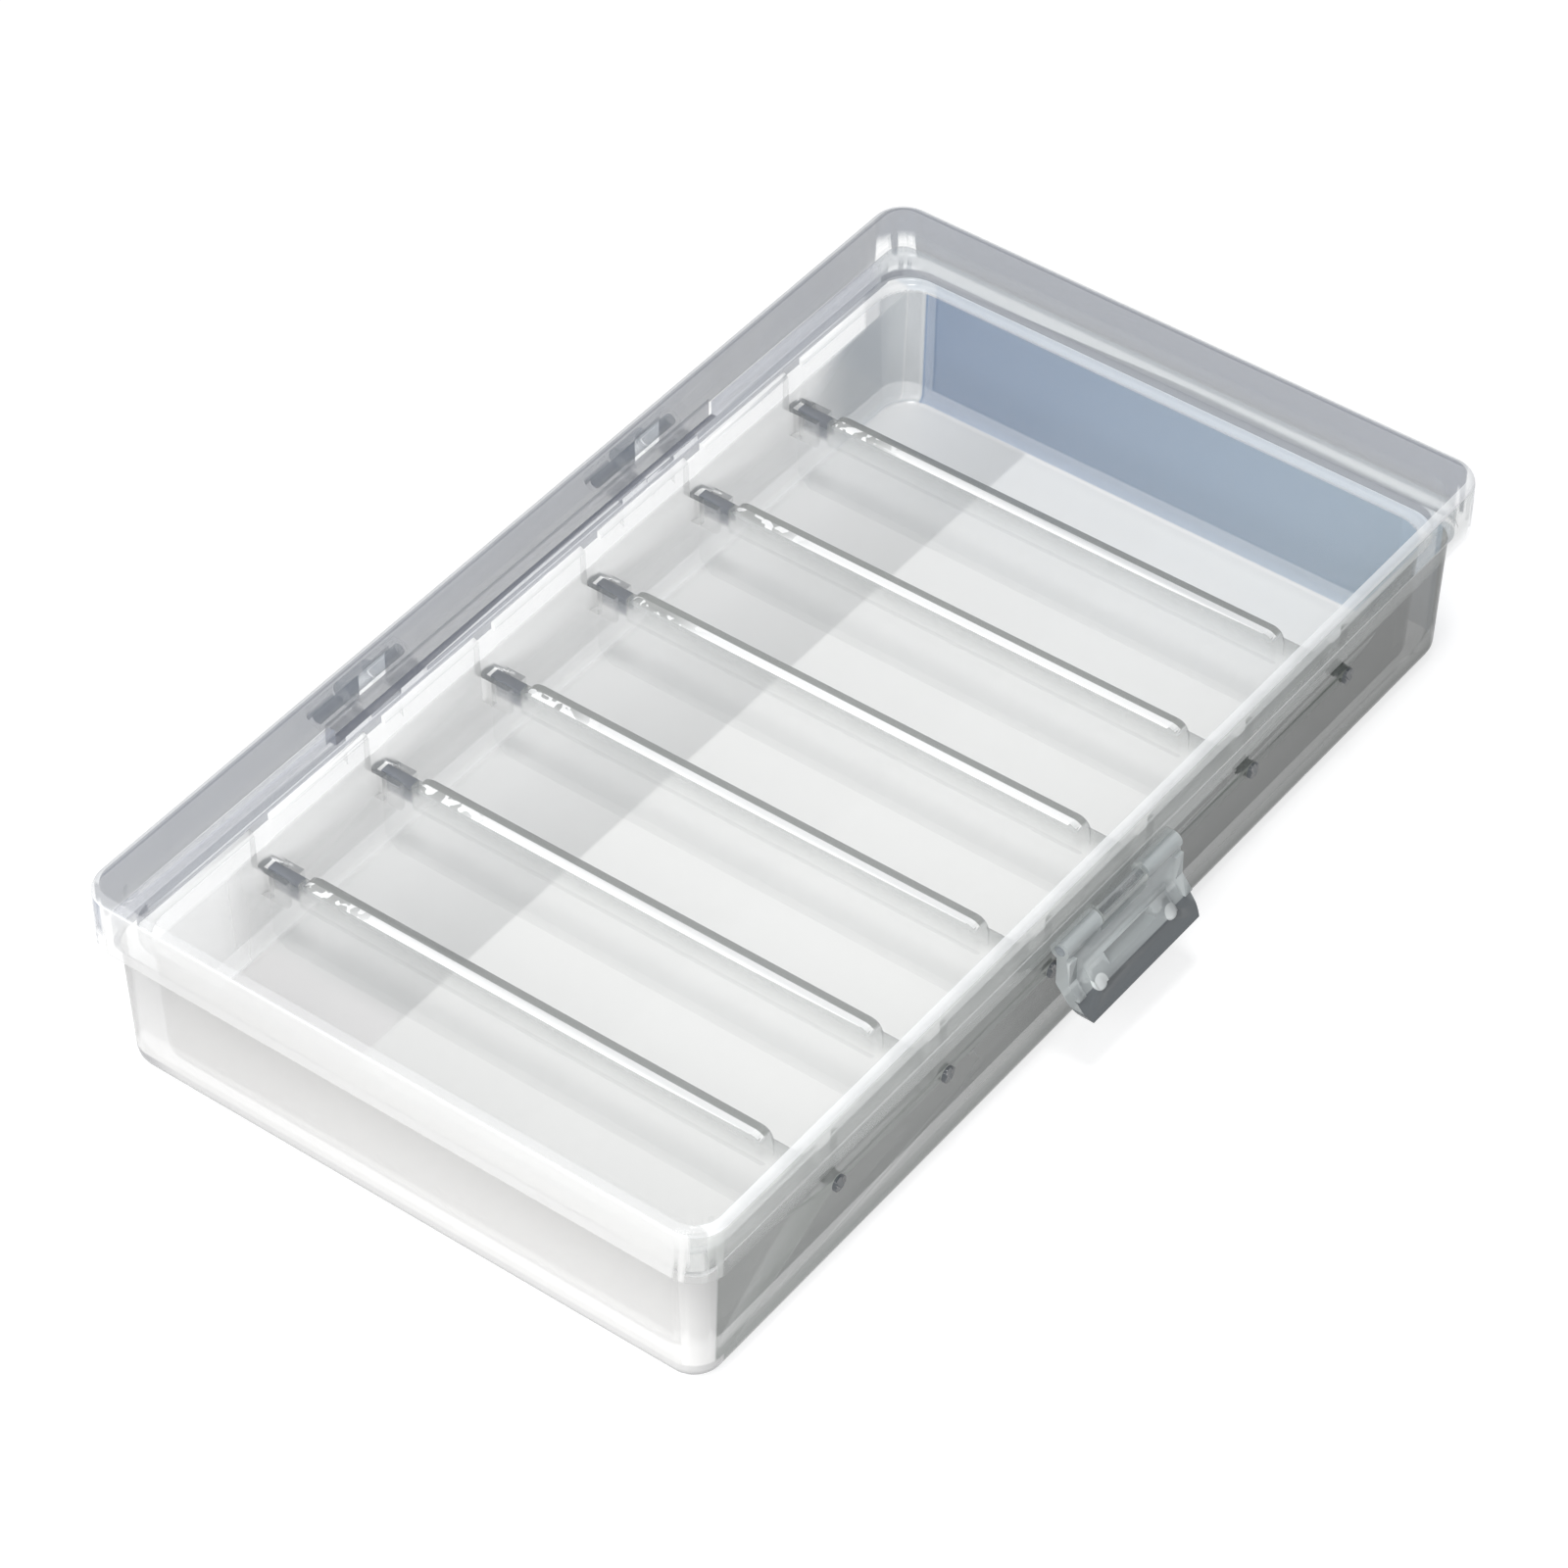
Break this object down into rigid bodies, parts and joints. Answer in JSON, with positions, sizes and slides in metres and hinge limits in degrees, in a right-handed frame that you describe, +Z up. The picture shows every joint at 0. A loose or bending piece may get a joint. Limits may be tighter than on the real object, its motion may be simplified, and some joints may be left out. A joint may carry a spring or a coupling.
{
  "type": "acrylic display box",
  "caption": "Clear hinged display box with a flat skirted lid, a front latch flap, a tapered tray and lift-out dividers in moulded guides.",
  "frame": {"origin": "Centre of the flat underside that the closed box rests on", "axes": "+X along the length, -Y towards the latch side, +Y towards the hinges, +Z up"},
  "size_m": [0.16, 0.0998, 0.0296],
  "materials": {
    "clear_tray": "moulded clear, polished",
    "clear_lid": "moulded clear, polished",
    "clear_latch": "moulded clear, polished",
    "clear_pins": "clear rod, plain",
    "clear_dividers": "moulded clear, polished"
  },
  "bodies": {
    "base": {"base_tray": "clear_tray", "hinge_pin_left": "clear_pins", "hinge_pin_right": "clear_pins"},
    "lid_body": {"lid": "clear_lid", "latch_pin": "clear_pins"},
    "latch_body": {"latch_flap": "clear_latch"},
    "divider_1_body": {"divider_1": "clear_dividers"},
    "divider_2_body": {"divider_2": "clear_dividers"},
    "divider_3_body": {"divider_3": "clear_dividers"},
    "divider_4_body": {"divider_4": "clear_dividers"},
    "divider_5_body": {"divider_5": "clear_dividers"},
    "divider_6_body": {"divider_6": "clear_dividers"}
  },
  "joints": [
    {"name": "lid_hinge", "type": "hinge", "parent": "base", "child": "lid_body", "pos_m": [0, 0.0479, 0.0206], "axis": [-1, 0, 0], "range_deg": [0, 180]},
    {"name": "latch_hinge", "type": "hinge", "parent": "lid_body", "child": "latch_body", "pos_m": [0, -0.04525, 0.019], "axis": [-1, 0, 0], "range_deg": [0, 110]},
    {"name": "divider_1_lift", "type": "slide", "parent": "base", "child": "divider_1_body", "axis": [0, 0, 1], "range_m": [0, 0.0122]},
    {"name": "divider_2_lift", "type": "slide", "parent": "base", "child": "divider_2_body", "axis": [0, 0, 1], "range_m": [0, 0.0122]},
    {"name": "divider_3_lift", "type": "slide", "parent": "base", "child": "divider_3_body", "axis": [0, 0, 1], "range_m": [0, 0.0122]},
    {"name": "divider_4_lift", "type": "slide", "parent": "base", "child": "divider_4_body", "axis": [0, 0, 1], "range_m": [0, 0.0122]},
    {"name": "divider_5_lift", "type": "slide", "parent": "base", "child": "divider_5_body", "axis": [0, 0, 1], "range_m": [0, 0.0122]},
    {"name": "divider_6_lift", "type": "slide", "parent": "base", "child": "divider_6_body", "axis": [0, 0, 1], "range_m": [0, 0.0122]}
  ]
}
